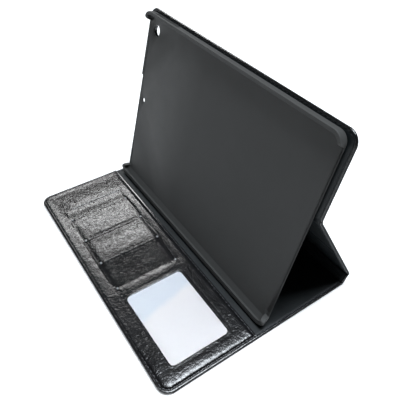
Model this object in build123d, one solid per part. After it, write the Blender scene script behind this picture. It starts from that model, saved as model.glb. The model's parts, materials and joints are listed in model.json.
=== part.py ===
from build123d import *
import math
import os

# A folio case for a 9.7-inch class tablet, folded out into its A-shaped stand.
# Millimetres and degrees. +X runs along the hinges, +Y from the free edge of the front cover
# to the spine, +Z up. The origin is the middle of the front cover's outer face, on the table.

# --- driving dimensions -------------------------------------------------------------------
CASE_LENGTH = 252.6         # every cover panel, along the hinges
FRONT_WIDTH = 184.0         # front cover, free edge to hinge axis
SPINE_WIDTH = 13.0          # spine, hinge axis to hinge axis
SPINE_LEAN = 62.0           # spine's slope in the stand pose
CORNER_RADIUS = 10.0        # free corners of the covers

SKIN = 0.7                  # outer leather
BOARD = 1.3                 # stiffening board
LINING = 0.5                # inner lining
COVER = SKIN + BOARD + LINING
HEM = 1.2                   # width of the skin's turned-in edge

HINGE_REACH = 3.0           # a stiff panel stops this far from a spine hinge axis
FOLD_REACH = 2.0            # and this far from the stand fold
STRIP = SKIN + LINING       # a bending strip is leather and lining only

TRAY_LENGTH = 243.0
TRAY_WIDTH = 176.0
TRAY_DEPTH = 8.9
TRAY_PLATE = 1.2
TRAY_WALL = 1.5
TRAY_LIP = 1.4              # how far the rim's front lip stands over the tablet
TRAY_LIP_THICKNESS = 0.9
TRAY_CORNER = 9.0
TRAY_BACK_ROUND = 3.5       # rounding between the plate's back and the rim
RIM_RETURN = 9.5            # length of rim that wraps each corner onto the short side
TRAY_TILT = 75.2            # slope of the tray in the stand pose
TRAY_MARGIN_LOW = 2.2       # tray's foot to the back hinge axis, when flat
TRAY_MARGIN_TOP = 2.0       # upper flap's lip beyond the tray
FOOT_Y = 8.9                # where the tray's back plane meets the front cover
FOOT_CLEARANCE = 0.1        # tray's foot above the lining
ADHESIVE = 0.4

CAMERA_HOLE = 10.6
CAMERA_FROM_END = 12.5
CAMERA_FROM_TOP = 15.9
MICROPHONE_HOLE = 4.0
MICROPHONE_FROM_END = 9.4
MICROPHONE_FROM_FOOT = 89.4
BUTTON_WINDOW = (14.0, 52.0)    # along the top rim, from the far end
BUTTON_WINDOW_DEPTH = (2.6, 7.0)  # through the rim, from the tray's back plane

POCKET_WIDTH = 87.2         # pocket panel, free edge to its hinge-side edge
POCKET_LEATHER = 0.7
POCKET_TOP = COVER + 2.5    # top of the padded pocket
POCKET_CROWN_LEATHER = 0.6
POCKET_MARGIN = 4.2         # flat stitched margin along the cover's edges
POCKET_EDGE_MARGIN = 2.4    # and along the pocket's hinge-side edge
POCKET_SLOPE = 60.0         # padding's side, from vertical
CARD_LEAF = 0.5
CARD_BACKING = 0.4
SLOT_X = (-78.4, -45.4, -11.7, 21.7)    # mouths of the four card slots
RECESS_X = (-92.0, 21.7)
RECESS_Y = (-78.0, -16.6)
STACK_MARGIN = 2.0          # the leaves reach this far under the panel
STACK_END = 29.0
WINDOW_X = (35.6, 110.2)
WINDOW_Y = (-75.1, -21.4)
WINDOW_CORNER = 4.0
WINDOW_LAP = 4.0            # the film reaches this far under the panel
FILM = 0.3

STITCH = (2.7, 0.5, 0.25)   # length, width, height of one stitch
STITCH_PITCH = 4.2
STITCH_INSET = 2.4
EDGE_STITCH_INSET = 1.3     # stitches along the pocket's hinge-side edge
TACK = (1.2, 1.8, 0.3)

# --- the folded shape ---------------------------------------------------------------------
half_length = CASE_LENGTH / 2
front_y = -FRONT_WIDTH / 2
hinge_y = FRONT_WIDTH / 2


def along(angle):
    """Unit vector (Y, Z) of a panel that slopes at this angle."""
    return math.cos(math.radians(angle)), math.sin(math.radians(angle))


def inward(angle):
    """Unit vector (Y, Z) from the outer face of a sloping panel to its inner face."""
    return -math.sin(math.radians(angle)), math.cos(math.radians(angle))


def step(point, direction, distance):
    return point[0] + direction[0] * distance, point[1] + direction[1] * distance


front_axis = (hinge_y, 0.0)
back_axis = step(front_axis, along(SPINE_LEAN), SPINE_WIDTH)

# The tray's rounded foot stands on the lining. The stand fold is where the lower flap, hinged at
# back_axis, and the upper flap, glued behind the tray, have the same length to the tray's foot.
tray_up, tray_in = along(TRAY_TILT), inward(TRAY_TILT)
foot_z = COVER + FOOT_CLEARANCE - TRAY_BACK_ROUND * (tray_up[1] + tray_up[0] - 1)
flap_foot = step((FOOT_Y, foot_z), tray_in, -(COVER + ADHESIVE))
gap_y, gap_z = back_axis[0] - flap_foot[0], back_axis[1] - flap_foot[1]
gap_along = gap_y * tray_up[0] + gap_z * tray_up[1]
fold_height = (gap_y ** 2 + gap_z ** 2 - TRAY_MARGIN_LOW ** 2) / (2 * (TRAY_MARGIN_LOW + gap_along))
LOWER_WIDTH = fold_height + TRAY_MARGIN_LOW
UPPER_WIDTH = TRAY_WIDTH - fold_height + TRAY_MARGIN_TOP
fold_axis = step(flap_foot, tray_up, fold_height)
lower_lean = math.degrees(math.atan2(fold_axis[1] - back_axis[1], fold_axis[0] - back_axis[0]))


def panel_plane(axis, angle):
    """Outer face of a panel: local x along the hinge, y away from it, z inward."""
    y, z = inward(angle)
    return Plane(origin=(0, axis[0], axis[1]), x_dir=(1, 0, 0), z_dir=(0, y, z))


front_plane = panel_plane(front_axis, 0)
spine_plane = panel_plane(front_axis, SPINE_LEAN)
lower_plane = panel_plane(back_axis, lower_lean)
upper_plane = panel_plane(fold_axis, TRAY_TILT)
tray_plane = upper_plane.offset(COVER + ADHESIVE)


# --- shared shapes ------------------------------------------------------------------------
def slab(x, y, z):
    """Box between two values on each axis."""
    size = [limits[1] - limits[0] for limits in (x, y, z)]
    middle = [(limits[1] + limits[0]) / 2 for limits in (x, y, z)]
    return Pos(*middle) * Box(*size)


def outline(length, y_hinge, y_free, radius):
    """Panel outline, square at the hinge and rounded at the free edge."""
    sheet = Pos(0, (y_hinge + y_free) / 2) * Rectangle(length, abs(y_free - y_hinge))
    if radius == 0:
        return sheet
    free_corners = [v for v in sheet.vertices() if abs(v.Y - y_free) < 0.001]
    return fillet(free_corners, radius)


def rounded(x, y, radius):
    """Rounded rectangle between two values on each axis."""
    middle = Pos((x[0] + x[1]) / 2, (y[0] + y[1]) / 2)
    return middle * RectangleRounded(x[1] - x[0], y[1] - y[0], radius)


def raised(sketch, bottom, top):
    return Pos(0, 0, bottom) * extrude(sketch, top - bottom)


def cover_layers(y_hinge, y_free, radius, free_hem):
    """Outer skin with its turned-in edges, the board inside it and the lining over the board."""
    toward_free = math.copysign(free_hem, y_free - y_hinge)
    outer = outline(CASE_LENGTH, y_hinge, y_free, radius)
    inner = outline(CASE_LENGTH - 2 * HEM, y_hinge, y_free - toward_free, max(radius - HEM, 0))
    skin = raised(outer, 0, COVER) - raised(inner, SKIN, COVER)
    board = raised(inner, SKIN, SKIN + BOARD)
    lining = raised(inner, SKIN + BOARD, COVER)
    return skin, board, lining


def bending_strip(axis, angle_before, angle_after, reach):
    """Leather and lining over a hinge axis, from one panel's end to the next one's start."""
    start = step(axis, along(angle_before), -reach)
    end = step(axis, along(angle_after), reach)
    before, after = inward(angle_before), inward(angle_after)
    closeness = 1 + before[0] * after[0] + before[1] * after[1]
    middle = (before[0] + after[0], before[1] + after[1])
    points = [start, axis, end, step(end, after, STRIP),
              step(axis, middle, STRIP / closeness), step(start, before, STRIP)]
    section = Plane.YZ * make_face(Polyline(*points, close=True))
    return extrude(section, half_length, both=True)


def stitch_row(path, height):
    """Stitches laid end to end along a path at one height."""
    count = int(path.length / STITCH_PITCH)
    stitches = []
    for index in range(count):
        place = (index + 0.5) / count
        point, direction = path @ place, path % place
        turn = math.degrees(math.atan2(direction.Y, direction.X))
        spot = Pos(point.X, point.Y, height + STITCH[2] / 2) * Rot(0, 0, turn)
        stitches.append(spot * Box(*STITCH))
    return stitches


def hem_path(y_hinge, y_free, radius):
    """Path beside three edges of a panel, round its free corners."""
    inset = math.copysign(STITCH_INSET, y_free - y_hinge)
    x, y = half_length - STITCH_INSET, y_free - inset
    return FilletPolyline((-x, y_hinge), (-x, y), (x, y), (x, y_hinge), radius=radius - STITCH_INSET)


parts = {}

# --- front cover --------------------------------------------------------------------------
front_layers = cover_layers(-HINGE_REACH, -FRONT_WIDTH, CORNER_RADIUS, HEM)
for name, layer in zip(("front_outer_skin", "front_board", "front_lining"), front_layers):
    parts[name] = front_plane * layer

parts["front_hinge_strip"] = bending_strip(front_axis, 0, SPINE_LEAN, HINGE_REACH)

# --- pocket panel with card slots and window, over the front half of the cover ------------
pocket_y = front_y + POCKET_WIDTH


def padded_block(thickness, bottom, top):
    """Block whose sides slope in towards the top, this far inside the pocket's leather."""
    edge = half_length - POCKET_MARGIN - thickness
    y = (front_y + POCKET_MARGIN + thickness, pocket_y - POCKET_EDGE_MARGIN - thickness)
    base = rounded((-edge, edge), y, CORNER_RADIUS - POCKET_MARGIN)
    return Pos(0, 0, bottom) * extrude(base, top - bottom, taper=POCKET_SLOPE)


pocket_sheet = raised(outline(CASE_LENGTH, pocket_y, front_y, CORNER_RADIUS), COVER, COVER + POCKET_LEATHER)
pocket_body = pocket_sheet + padded_block(0, COVER + POCKET_LEATHER, POCKET_TOP)
hollow_top = POCKET_TOP - POCKET_CROWN_LEATHER
hollow = padded_block(POCKET_LEATHER, COVER, hollow_top)
recess = raised(rounded(RECESS_X, RECESS_Y, 2.0), hollow_top, POCKET_TOP)
window = raised(rounded(WINDOW_X, WINDOW_Y, WINDOW_CORNER), hollow_top, POCKET_TOP)
parts["pocket_panel"] = pocket_body - hollow - recess - window

stack_x = (RECESS_X[0] - STACK_MARGIN, STACK_END)
stack_y = (RECESS_Y[0] - STACK_MARGIN, RECESS_Y[1] + STACK_MARGIN)
backing_top = COVER + CARD_BACKING
parts["card_pocket_backing"] = slab(stack_x, stack_y, (COVER, backing_top))
for index, slot_x in enumerate(SLOT_X[:3]):
    bottom = backing_top + index * CARD_LEAF
    parts[f"card_slot_leaf_{index + 1}"] = slab((slot_x, STACK_END), stack_y, (bottom, bottom + CARD_LEAF))

film_x = (WINDOW_X[0] - WINDOW_LAP, WINDOW_X[1] + WINDOW_LAP)
film_y = (WINDOW_Y[0] - WINDOW_LAP, WINDOW_Y[1] + WINDOW_LAP)
film_outline = rounded(film_x, film_y, WINDOW_CORNER)
parts["window_film"] = raised(film_outline, hollow_top - FILM, hollow_top)
parts["window_insert"] = raised(film_outline, hollow_top - 2 * FILM, hollow_top - FILM)

foam = hollow - slab(stack_x, stack_y, (COVER, POCKET_TOP))
parts["pocket_foam"] = foam - raised(film_outline, hollow_top - 2 * FILM, POCKET_TOP)

tacks = []
for index, slot_x in enumerate(SLOT_X):
    on_top = POCKET_TOP if index == 3 else backing_top + (index + 1) * CARD_LEAF
    for y in (RECESS_Y[0] + 1.3, RECESS_Y[1] - 1.3):
        tacks.append(Pos(slot_x + TACK[0], y, on_top + TACK[2] / 2) * Box(*TACK))
parts["slot_tacks"] = Compound(children=tacks)

pocket_path = hem_path(pocket_y - 2 * EDGE_STITCH_INSET, front_y, CORNER_RADIUS)
parts["pocket_stitching"] = Compound(children=stitch_row(pocket_path, COVER + POCKET_LEATHER))
edge_row_x, edge_row_y = half_length - 2 * STITCH_INSET, pocket_y - EDGE_STITCH_INSET
edge_row = Line((-edge_row_x, edge_row_y), (edge_row_x, edge_row_y))
parts["pocket_edge_stitching"] = Compound(children=stitch_row(edge_row, COVER + POCKET_LEATHER))

# --- spine --------------------------------------------------------------------------------
spine_layers = cover_layers(HINGE_REACH, SPINE_WIDTH - HINGE_REACH, 0, 0)
for name, layer in zip(("spine_outer_skin", "spine_board", "spine_lining"), spine_layers):
    parts[name] = spine_plane * layer
parts["back_hinge_strip"] = bending_strip(back_axis, SPINE_LEAN, lower_lean, HINGE_REACH)

# --- lower flap ---------------------------------------------------------------------------
lower_end = LOWER_WIDTH - FOLD_REACH
lower_layers = cover_layers(HINGE_REACH, lower_end, 0, 0)
for name, layer in zip(("lower_outer_skin", "lower_board", "lower_lining"), lower_layers):
    parts[name] = lower_plane * layer
parts["stand_fold_strip"] = bending_strip(fold_axis, lower_lean, TRAY_TILT, FOLD_REACH)

lower_rows = []
for x in (-half_length + STITCH_INSET, half_length - STITCH_INSET):
    row = Line((x, HINGE_REACH + STITCH_INSET), (x, lower_end - STITCH_INSET))
    lower_rows += stitch_row(row, COVER)
parts["lower_stitching"] = lower_plane * Compound(children=lower_rows)

# --- upper flap, glued behind the upper part of the tray ----------------------------------
tray_foot, tray_top = -fold_height, TRAY_WIDTH - fold_height
camera_x = -TRAY_LENGTH / 2 + CAMERA_FROM_END
camera_y = tray_top - CAMERA_FROM_TOP
camera_hole = Pos(camera_x, camera_y, 0) * Cylinder(CAMERA_HOLE / 2, 60)

upper_layers = cover_layers(FOLD_REACH, UPPER_WIDTH, CORNER_RADIUS, HEM)
for name, layer in zip(("upper_outer_skin", "upper_board", "upper_lining"), upper_layers):
    parts[name] = upper_plane * (layer - camera_hole)

upper_path = hem_path(FOLD_REACH + STITCH_INSET, UPPER_WIDTH, CORNER_RADIUS)
parts["upper_stitching"] = upper_plane * Compound(children=stitch_row(upper_path, COVER))

pad_edge = TRAY_LENGTH / 2 - 2 * TRAY_BACK_ROUND
pad = slab((-pad_edge, pad_edge), (FOLD_REACH + 1, tray_top - 2 * TRAY_BACK_ROUND), (COVER, COVER + ADHESIVE))
parts["tray_adhesive_pad"] = upper_plane * (pad - camera_hole)

# --- tray ---------------------------------------------------------------------------------
tray_half = TRAY_LENGTH / 2
tray_y = (tray_foot, tray_top)


def tray_outline(inset):
    x = (-tray_half + inset, tray_half - inset)
    y = (tray_y[0] + inset, tray_y[1] - inset)
    return rounded(x, y, TRAY_CORNER - inset)


block = extrude(tray_outline(0), TRAY_DEPTH)
block = fillet(block.faces().sort_by(Axis.Z)[0].edges(), TRAY_BACK_ROUND)
front_rim = block.faces().sort_by(Axis.Z)[-1].edges()
block = fillet(front_rim, 0.6)
seat = raised(tray_outline(TRAY_WALL), TRAY_PLATE, TRAY_DEPTH - TRAY_LIP_THICKNESS)
seat = fillet(seat.faces().sort_by(Axis.Z)[0].edges(), TRAY_BACK_ROUND - TRAY_WALL)
mouth = raised(tray_outline(TRAY_WALL + TRAY_LIP), TRAY_PLATE + 1, TRAY_DEPTH + 1)
shell = block - seat - mouth

open_y = (tray_y[0] + RIM_RETURN, tray_y[1] - RIM_RETURN)
for side in (-1, 1):
    open_x = sorted((side * (tray_half - 2 * TRAY_BACK_ROUND), side * (tray_half + 1)))
    shell -= slab(open_x, open_y, (TRAY_PLATE, TRAY_DEPTH + 1))

button_x = [-tray_half + place for place in BUTTON_WINDOW]
shell -= slab(button_x, (tray_top - 2 * TRAY_WALL, tray_top + 1), BUTTON_WINDOW_DEPTH)
shell -= camera_hole
microphone_x = -tray_half + MICROPHONE_FROM_END
shell -= Pos(microphone_x, tray_foot + MICROPHONE_FROM_FOOT, 0) * Cylinder(MICROPHONE_HOLE / 2, 60)
parts["tray_shell"] = tray_plane * shell

# --- files --------------------------------------------------------------------------------
os.makedirs("parts", exist_ok=True)
for name, shape in parts.items():
    export_step(shape, f"parts/{name}.step")

print(f"front axis {front_axis}, back axis {back_axis}, fold axis {fold_axis}")
print(f"tray tilt {TRAY_TILT}, lower flap slope {lower_lean:.3f}, spine slope {SPINE_LEAN}")
print(f"fold height {fold_height:.2f}, lower flap {LOWER_WIDTH:.2f}, upper flap {UPPER_WIDTH:.2f}")
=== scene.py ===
import json
import math

import bmesh
import bpy
import numpy as np
from mathutils import Matrix, Vector, noise


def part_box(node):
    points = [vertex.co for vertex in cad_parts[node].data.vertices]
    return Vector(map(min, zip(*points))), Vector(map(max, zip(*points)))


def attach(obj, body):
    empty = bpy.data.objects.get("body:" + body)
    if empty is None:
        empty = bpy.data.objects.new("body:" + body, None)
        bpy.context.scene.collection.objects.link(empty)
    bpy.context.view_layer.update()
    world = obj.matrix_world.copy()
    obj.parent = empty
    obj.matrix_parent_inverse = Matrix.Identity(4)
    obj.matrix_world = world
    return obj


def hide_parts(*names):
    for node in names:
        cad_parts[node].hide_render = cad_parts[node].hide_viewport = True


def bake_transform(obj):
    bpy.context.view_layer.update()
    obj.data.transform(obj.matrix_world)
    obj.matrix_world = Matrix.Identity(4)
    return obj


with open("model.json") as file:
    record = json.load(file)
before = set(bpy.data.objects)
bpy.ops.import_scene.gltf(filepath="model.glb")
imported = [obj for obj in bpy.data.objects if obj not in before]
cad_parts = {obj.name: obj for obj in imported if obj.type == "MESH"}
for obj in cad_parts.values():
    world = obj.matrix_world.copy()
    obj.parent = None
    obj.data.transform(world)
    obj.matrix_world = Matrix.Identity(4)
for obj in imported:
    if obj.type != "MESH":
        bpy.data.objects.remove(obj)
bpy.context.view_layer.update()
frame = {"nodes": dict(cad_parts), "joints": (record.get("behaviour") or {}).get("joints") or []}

# The tablet case's looks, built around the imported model. Shapes are worked out in millimetres and
# written in metres. A panel's own axes are x along the hinges, y away from its hinge and z from its
# outer face to its inner face.

MM = 0.001

# --- what the frame says ---
joints = {joint["name"]: joint for joint in frame["joints"]}


def joint_axis(name):
    """A hinge axis as (Y, Z) in millimetres."""
    return np.array(joints[name]["pos_m"][1:]) / MM


FRONT_AXIS = joint_axis("cover_hinge")
BACK_AXIS = joint_axis("back_hinge")
FOLD_AXIS = joint_axis("stand_fold")
SPINE_LEAN = -joints["cover_hinge"]["range_deg"][0]
LOWER_LEAN = SPINE_LEAN - joints["back_hinge"]["range_deg"][0]
TRAY_TILT = LOWER_LEAN - joints["stand_fold"]["range_deg"][1]


class Panel:
    """A flat stretch of cover: its hinge axis, its slope, and the way to and from its own axes."""

    def __init__(self, axis, degrees):
        angle = math.radians(degrees)
        self.axis = np.array([0.0, *axis])
        self.turn = np.array([[1, 0, 0],
                              [0, math.cos(angle), math.sin(angle)],
                              [0, -math.sin(angle), math.cos(angle)]])

    def world(self, points):
        """Points in world millimetres."""
        return points @ self.turn + self.axis

    def limits(self, node):
        """Lowest and highest corner of a CAD node, in this panel's axes."""
        vertices = frame["nodes"][node].data.vertices
        points = np.array([v.co for v in vertices]).reshape(-1, 3) / MM
        own = (points - self.axis) @ self.turn.T
        return own.min(0), own.max(0)


front_panel = Panel(FRONT_AXIS, 0)
upper_panel = Panel(FOLD_AXIS, TRAY_TILT)

skin_low, skin_high = front_panel.limits("front_outer_skin")
HALF_LENGTH = skin_high[0]
COVER = skin_high[2]
FRONT_WIDTH = -skin_low[1]
HINGE_REACH = -skin_high[1]
SPINE_WIDTH = np.linalg.norm(BACK_AXIS - FRONT_AXIS)
LOWER_WIDTH = np.linalg.norm(FOLD_AXIS - BACK_AXIS)
upper_low, upper_high = upper_panel.limits("upper_outer_skin")
UPPER_WIDTH = upper_high[1]
FOLD_REACH = upper_low[1]
front_y = FRONT_AXIS[0] - FRONT_WIDTH

# --- sizes of the covers that only the looks need ---
CORNER_RADIUS = 10.0
STRIP = 1.3                 # leather and lining where the cover bends
BEND_RAMP = 1.7             # the cover thickens over this much of a bend's ends
EDGE_ROUND = 1.15           # rounding of the turned leather edge
STITCH_INSET = 2.4
STITCH_PITCH = 4.2
GROOVE_DEPTH = 0.32
GROOVE_WIDTH = 0.6
LINING_INSET = 1.3          # lining's edge inside the turned leather edge
LINING_RAISE = 0.14         # how far it stands over the leather
SEAM_ANGLE = math.radians(55)       # sharper edges than this aren't shaded as round
# Steps of a grid from a rounded edge inwards.
EDGE_OFFSETS = np.array([0, 0.05, 0.16, 0.33, 0.55, 0.82, 1.15, 1.45, 1.7, 1.95, 2.2, 2.4, 2.6,
                         2.85, 3.1, 3.4, 3.8, 4.3, 4.9, 5.6, 6.4, 7.3, 8.3, 9.4, 10.6, 12.0])


# --- helpers ---
def smooth(value):
    """Eases from 0 to 1."""
    value = np.clip(value, 0.0, 1.0)
    return value * value * (3 - 2 * value)


def within(value, limits, soft):
    """1 between the limits and 0 outside them, with soft ends inside the limits."""
    return smooth((value - limits[0]) / soft) * smooth((limits[1] - value) / soft)


def ridge(distance, place, width):
    """Bell-shaped ridge of height 1 at this distance."""
    return np.exp(-((distance - place) / width) ** 2)


def quarter_round(way):
    """Height of a quarter circle, from 0 at its foot to 1 at its top."""
    return np.sqrt(np.clip(1 - (1 - np.clip(way, 0, 1)) ** 2, 0, 1))


def wider(limits, by):
    """Limits moved outwards, or inwards where by is negative."""
    return limits[0] - by, limits[1] + by


def unit(vector):
    """Vector of length 1 that points the same way."""
    return vector / np.linalg.norm(vector)


def ripple(x, y, size, seed):
    """Smooth random field between about -1 and 1, with features of this size."""
    flat_x, flat_y = np.broadcast_arrays(x, y)
    values = [noise.noise(Vector((a / size, b / size, seed)))
              for a, b in zip(flat_x.ravel(), flat_y.ravel())]
    return np.array(values).reshape(flat_x.shape)


def lines(low, high, step, fine=()):
    """Grid lines from low to high, and closer together around each (place, reach, spacing)."""
    least_gap = 0.03
    places = set(np.linspace(low, high, max(2, round((high - low) / step) + 1)).round(4))
    for place, reach, spacing in fine:
        count = int(round(reach / spacing))
        near = place + np.arange(-count, count + 1) * spacing
        near = near[(near > low) & (near < high)]
        inside = [p for p in places if near.size and near[0] < p < near[-1] and p not in (low, high)]
        places = (places - set(inside)) | set(near.round(4))
    ordered = sorted(places)
    kept = [ordered[0]]
    for place in ordered[1:-1]:
        if place - kept[-1] > least_gap and ordered[-1] - place > least_gap:
            kept.append(place)
    return np.array(kept + [ordered[-1]])


def edged_lines(low, high, step, low_edge=True, high_edge=True, fine=()):
    """Grid lines that crowd towards rounded edges at either end."""
    start = low + EDGE_OFFSETS if low_edge else np.array([low])
    end = high - EDGE_OFFSETS[::-1] if high_edge else np.array([high])
    middle = lines(start[-1], end[0], step, fine)
    return np.concatenate([start[:-1], middle, end[1:]])


def linked_object(name, mesh, material):
    """Puts a mesh in the scene as an object of this material."""
    mesh.materials.append(material)
    piece = bpy.data.objects.new(name, mesh)
    bpy.context.scene.collection.objects.link(piece)
    return piece


def finished_mesh(model, name):
    """Mesh from a bmesh, with smooth shading."""
    for face in model.faces:
        face.smooth = True
    mesh = bpy.data.meshes.new(name)
    model.to_mesh(mesh)
    model.free()
    return mesh


def new_object(name, points, faces, material):
    """Mesh object from points in millimetres, with double points joined."""
    draft = bpy.data.meshes.new("draft")
    draft.from_pydata((np.asarray(points) * MM).tolist(), [], [tuple(map(int, f)) for f in faces])
    draft.validate()
    model = bmesh.new()
    model.from_mesh(draft)
    bpy.data.meshes.remove(draft)
    bmesh.ops.remove_doubles(model, verts=model.verts, dist=2e-6)
    bmesh.ops.dissolve_degenerate(model, edges=model.edges, dist=1e-7)
    bmesh.ops.recalc_face_normals(model, faces=model.faces)
    return linked_object(name, finished_mesh(model, name), material)


def slab_object(name, bottom, top, material):
    """Closed piece between two grids of points, joined around their edges."""
    rows, columns = bottom.shape[:2]
    count = rows * columns
    index = np.arange(count).reshape(rows, columns)
    quads = np.stack([index[:-1, :-1], index[:-1, 1:], index[1:, 1:], index[1:, :-1]], -1)
    quads = quads.reshape(-1, 4)
    rim = np.concatenate([index[0, :-1], index[:-1, -1], index[-1, :0:-1], index[:0:-1, 0]])
    faces = list(quads[:, ::-1]) + list(quads + count)
    faces += [(a, b, b + count, a + count) for a, b in zip(rim, np.roll(rim, -1))]
    points = np.concatenate([bottom.reshape(-1, 3), top.reshape(-1, 3)])
    return new_object(name, points, faces, material)


def ring_faces(rings, count, closed=False):
    """Faces between rings of this many points: a tube, closed on itself or capped at its ends."""
    faces = []
    for k in range(rings if closed else rings - 1):
        here, after = k * count, (k + 1) % rings * count
        for i in range(count):
            j = (i + 1) % count
            faces.append((here + i, here + j, after + j, after + i))
    if not closed:
        faces.append(tuple(range(count)))
        faces.append(tuple((rings - 1) * count + i for i in range(count)))
    return faces


def circle(centre, radius, depth, count=40):
    """Ring of points at one depth."""
    turns = np.radians(np.arange(count) * 360 / count)
    return np.stack([centre[0] + radius * np.cos(turns), centre[1] + radius * np.sin(turns),
                     np.full(count, depth)], -1)


def arc(centre, radius, start, end, count):
    """Points on an arc between two angles in degrees."""
    turns = np.radians(np.linspace(start, end, count))
    return [(centre[0] + radius * math.cos(t), centre[1] + radius * math.sin(t)) for t in turns]


def dress(piece, body):
    """Gives a finished piece the body it rides on."""
    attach(piece, body)


# --- section of the folded covers ---
class CoverPath:
    """The covers' outer face in section, from the front free edge to the back one: straight
    panels joined by round bends. Length along it is s, and z is the depth from the outer face."""

    def __init__(self):
        bends = [(SPINE_LEAN, HINGE_REACH), (LOWER_LEAN - SPINE_LEAN, HINGE_REACH),
                 (TRAY_TILT - LOWER_LEAN, FOLD_REACH)]
        widths = [FRONT_WIDTH, SPINE_WIDTH, LOWER_WIDTH, UPPER_WIDTH]
        reaches = [0] + [reach for _, reach in bends] + [0]
        self.runs, self.bends = [], []          # a bend is its middle and half its length
        point, angle, s = np.array([front_y, 0.0]), 0.0, 0.0
        for index, width in enumerate(widths):
            length = width - reaches[index] - reaches[index + 1]
            self.runs.append((s, point, angle, 0.0))
            point = point + length * np.array([math.cos(angle), math.sin(angle)])
            s += length
            if index == len(bends):
                break
            turn, reach = math.radians(bends[index][0]), bends[index][1]
            radius = reach / math.tan(turn / 2)
            length = radius * turn
            self.runs.append((s, point, angle, 1 / radius))
            chord = np.array([math.sin(angle + turn) - math.sin(angle),
                              math.cos(angle) - math.cos(angle + turn)])
            point, angle = point + radius * chord, angle + turn
            self.bends.append((s + length / 2, length / 2))
            s += length
        self.length = s

    def world(self, x, s, z):
        """Points at x along the hinges, s along the section and z deep."""
        x, s, z = np.broadcast_arrays(x, s, z)
        y_out, z_out = np.zeros(s.shape), np.zeros(s.shape)
        starts = [run[0] for run in self.runs]
        which = np.clip(np.searchsorted(starts, s, side="right") - 1, 0, len(starts) - 1)
        for number, (start, point, angle, bend) in enumerate(self.runs):
            mine = which == number
            run = s[mine] - start
            here = angle + bend * run
            if bend:
                y = point[0] + (np.sin(here) - math.sin(angle)) / bend
                height = point[1] + (math.cos(angle) - np.cos(here)) / bend
            else:
                y, height = point[0] + run * math.cos(angle), point[1] + run * math.sin(angle)
            y_out[mine] = y - np.sin(here) * z[mine]
            z_out[mine] = height + np.cos(here) * z[mine]
        return np.stack([x, y_out, z_out], -1)

    def thickness(self, s):
        """Full on the panels, thin over the bends."""
        value = np.full(np.shape(s), COVER)
        for middle, half in self.bends:
            ramp = smooth((np.abs(s - middle) - half + BEND_RAMP) / BEND_RAMP)
            value = np.minimum(value, STRIP + (COVER - STRIP) * ramp)
        return value

    def edge_distance(self, x, s):
        """Distance from the nearest free edge, corners rounded."""
        side = HALF_LENGTH - np.abs(x)
        end = np.minimum(s, self.length - s)
        in_corner = (side < CORNER_RADIUS) & (end < CORNER_RADIUS)
        corner = CORNER_RADIUS - np.hypot(CORNER_RADIUS - side, CORNER_RADIUS - end)
        return np.where(in_corner, corner, np.minimum(side, end))

    def half_width(self, s):
        """Half the cover's length at s, less at its rounded free corners."""
        end = np.clip(np.minimum(s, self.length - s), 0, CORNER_RADIUS)
        return HALF_LENGTH - CORNER_RADIUS + np.sqrt(CORNER_RADIUS ** 2 - (CORNER_RADIUS - end) ** 2)

    def grid(self, s_from, s_to, inset):
        """Grid of x and s over a stretch, this far inside free edges, closer at edges and bends."""
        first, last = max(s_from, inset), min(s_to, self.length - inset)
        fine = [(middle, half + 3, 0.4) for middle, half in self.bends if first < middle < last]
        s_lines = edged_lines(first, last, 4.0, s_from == 0, s_to == self.length, fine)
        limit = HALF_LENGTH - inset
        x_lines = edged_lines(-limit, limit, 4.0)
        s = np.repeat(s_lines[:, None], len(x_lines), 1)
        return x_lines[None, :] / limit * (self.half_width(s) - inset), s


cover = CoverPath()
mid_spine = (cover.bends[0][0] + cover.bends[1][0]) / 2
mid_lower = cover.bends[1][0] + LOWER_WIDTH / 2


def groove(distance):
    """Depth of the pressed groove that a row of stitches lies in."""
    return GROOVE_DEPTH * ridge(distance, STITCH_INSET, GROOVE_WIDTH)


def cover_leather(name, s_from, s_to):
    """A stretch of cover with its turned edges, stitch grooves and slight waves."""
    x, s = cover.grid(s_from, s_to, 0)
    distance = cover.edge_distance(x, s)
    thick, dip = cover.thickness(s), groove(distance)
    full = quarter_round(distance / EDGE_ROUND)
    inner = thick / 2 * (1 + full) - dip
    wave = 0.06 * (1 + ripple(x, s, 26.0, 3.1)) * smooth((distance - 3.5) / 4)
    outer = thick / 2 * (1 - full) + dip + wave
    piece = slab_object(name, cover.world(x, s, outer), cover.world(x, s, inner), leather)
    piece.data.set_sharp_from_angle(angle=SEAM_ANGLE)
    return piece


def stand_in(piece, bend, slot, *nodes):
    """Puts a bent piece in place of CAD nodes: hides them and fixes the piece's transform into its mesh.
    """
    middle, half = cover.bends[bend]
    flat = half + 1.0                   # the panels are flat from here on
    start, end = (cover.world(0.0, middle + way * flat, COVER / 2) * MM for way in (-1, 1))
    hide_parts(*nodes)
    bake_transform(piece)


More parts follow.
